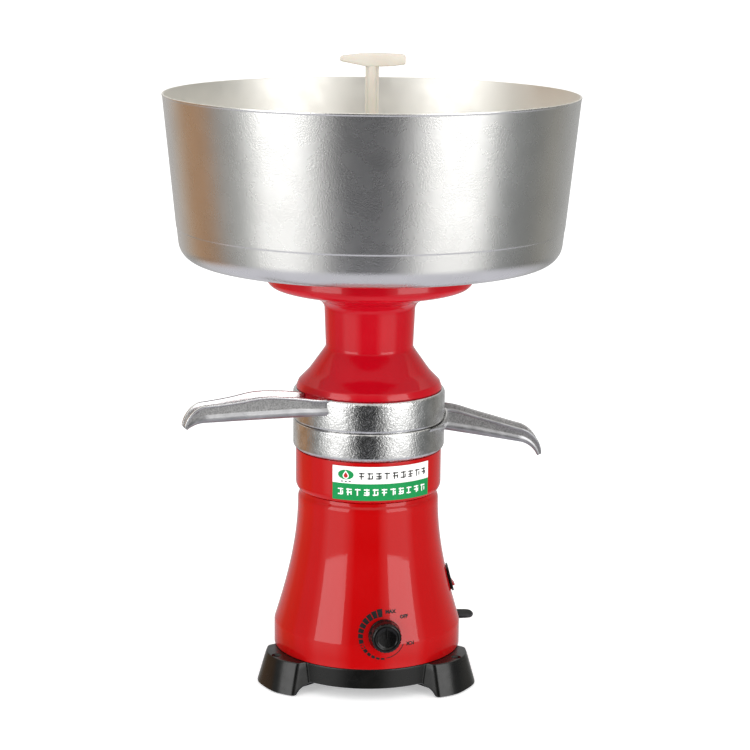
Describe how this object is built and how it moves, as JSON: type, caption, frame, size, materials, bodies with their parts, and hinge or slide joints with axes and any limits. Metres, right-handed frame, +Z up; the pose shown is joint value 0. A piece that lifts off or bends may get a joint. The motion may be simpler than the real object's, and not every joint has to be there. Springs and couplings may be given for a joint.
{
  "type": "cream separator",
  "caption": "Electric milk and cream separator: motor housing on a footed base, drum, two spouted receivers, float chamber and an open milk bowl with a tap plug.",
  "frame": {"origin": "on the floor under the axis of the drum and the bowl", "axes": "+Z up along the drum's axis, -Y towards the side with the speed knob, +X to the right seen from that side"},
  "size_m": [0.365, 0.3859, 0.5625],
  "materials": {
    "red_paint": "glossy red enamel",
    "red_plastic": "glossy red moulding",
    "cast_aluminium": "cast, edges polished",
    "spun_aluminium": "spun, satin, fine orange peel",
    "black_plastic": "satin black moulding",
    "knob_black": "glossy black",
    "ivory_plastic": "satin ivory moulding",
    "rubber": "matt black rubber",
    "steel": "turned steel",
    "copper": "enamelled copper",
    "label": "printed film",
    "switch_red": "glossy dark red",
    "cord": "black PVC sheath",
    "board": "green circuit board"
  },
  "bodies": {
    "chassis": {"base": "black_plastic", "foot_pad_1": "rubber", "foot_pad_2": "rubber", "foot_pad_3": "rubber", "base_screw_1": "steel", "base_screw_2": "steel", "base_screw_3": "steel", "motor_housing": "red_paint", "drum_chamber": "red_paint", "label_plate": "label", "potentiometer": "steel", "switch_body": "black_plastic", "cable_gland": "rubber", "power_cord": "cord", "cord_coil": "cord", "power_plug": "black_plastic", "control_board": "board", "lower_bracket": "cast_aluminium", "upper_bracket": "cast_aluminium", "stator_core": "steel", "stator_bolt_1": "steel", "stator_bolt_2": "steel", "field_coil_1": "copper", "field_coil_2": "copper", "lower_bearing": "steel", "upper_bearing": "steel", "brush_holder_1": "copper", "brush_holder_2": "copper", "shaft_seal": "rubber"},
    "knob": {"speed_knob": "knob_black"},
    "rocker": {"switch_rocker": "switch_red"},
    "rotor": {"motor_shaft": "steel", "armature_core": "steel", "commutator": "copper", "cooling_fan": "black_plastic", "drum_base": "steel", "drum_seal": "rubber", "disc_holder": "red_plastic", "disc_1": "steel", "disc_2": "steel", "disc_3": "steel", "disc_4": "steel", "disc_5": "steel", "disc_6": "steel", "disc_7": "steel", "disc_8": "steel", "separating_disc": "steel", "drum_cover": "steel", "drum_nut": "steel"},
    "skim_stage": {"skim_receiver": "cast_aluminium"},
    "cream_stage": {"cream_receiver": "cast_aluminium"},
    "float_stage": {"float_chamber": "red_plastic"},
    "float_body": {"float": "ivory_plastic"},
    "bowl": {"milk_bowl": "spun_aluminium"},
    "plug": {"bowl_plug": "ivory_plastic"}
  },
  "joints": [
    {"name": "speed_knob_turn", "type": "hinge", "parent": "chassis", "child": "knob", "pos_m": [0.01557, -0.08203, 0.061], "axis": [0.1863, -0.9811, 0.0523], "range_deg": [-270, 0]},
    {"name": "switch_rock", "type": "hinge", "parent": "chassis", "child": "rocker", "pos_m": [0.07383, 0.00322, 0.0885], "axis": [-0.0436, 0.999, 0], "range_deg": [0, 20]},
    {"name": "rotor_spin", "type": "hinge", "parent": "chassis", "child": "rotor", "pos_m": [0, 0, 0.1], "axis": [0, 0, 1], "continuous": true},
    {"name": "skim_receiver_lift", "type": "slide", "parent": "chassis", "child": "skim_stage", "axis": [0, 0, 1], "range_m": [0, 0.06]},
    {"name": "cream_receiver_lift", "type": "slide", "parent": "skim_stage", "child": "cream_stage", "axis": [0, 0, 1], "range_m": [0, 0.04]},
    {"name": "float_chamber_lift", "type": "slide", "parent": "cream_stage", "child": "float_stage", "axis": [0, 0, 1], "range_m": [0, 0.06]},
    {"name": "float_rise", "type": "slide", "parent": "float_stage", "child": "float_body", "axis": [0, 0, 1], "range_m": [0, 0.007]},
    {"name": "milk_bowl_lift", "type": "slide", "parent": "float_stage", "child": "bowl", "axis": [0, 0, 1], "range_m": [0, 0.1]},
    {"name": "bowl_plug_turn", "type": "hinge", "parent": "bowl", "child": "plug", "pos_m": [0, 0, 0.4], "axis": [0, 0, 1], "range_deg": [0, 90]}
  ]
}
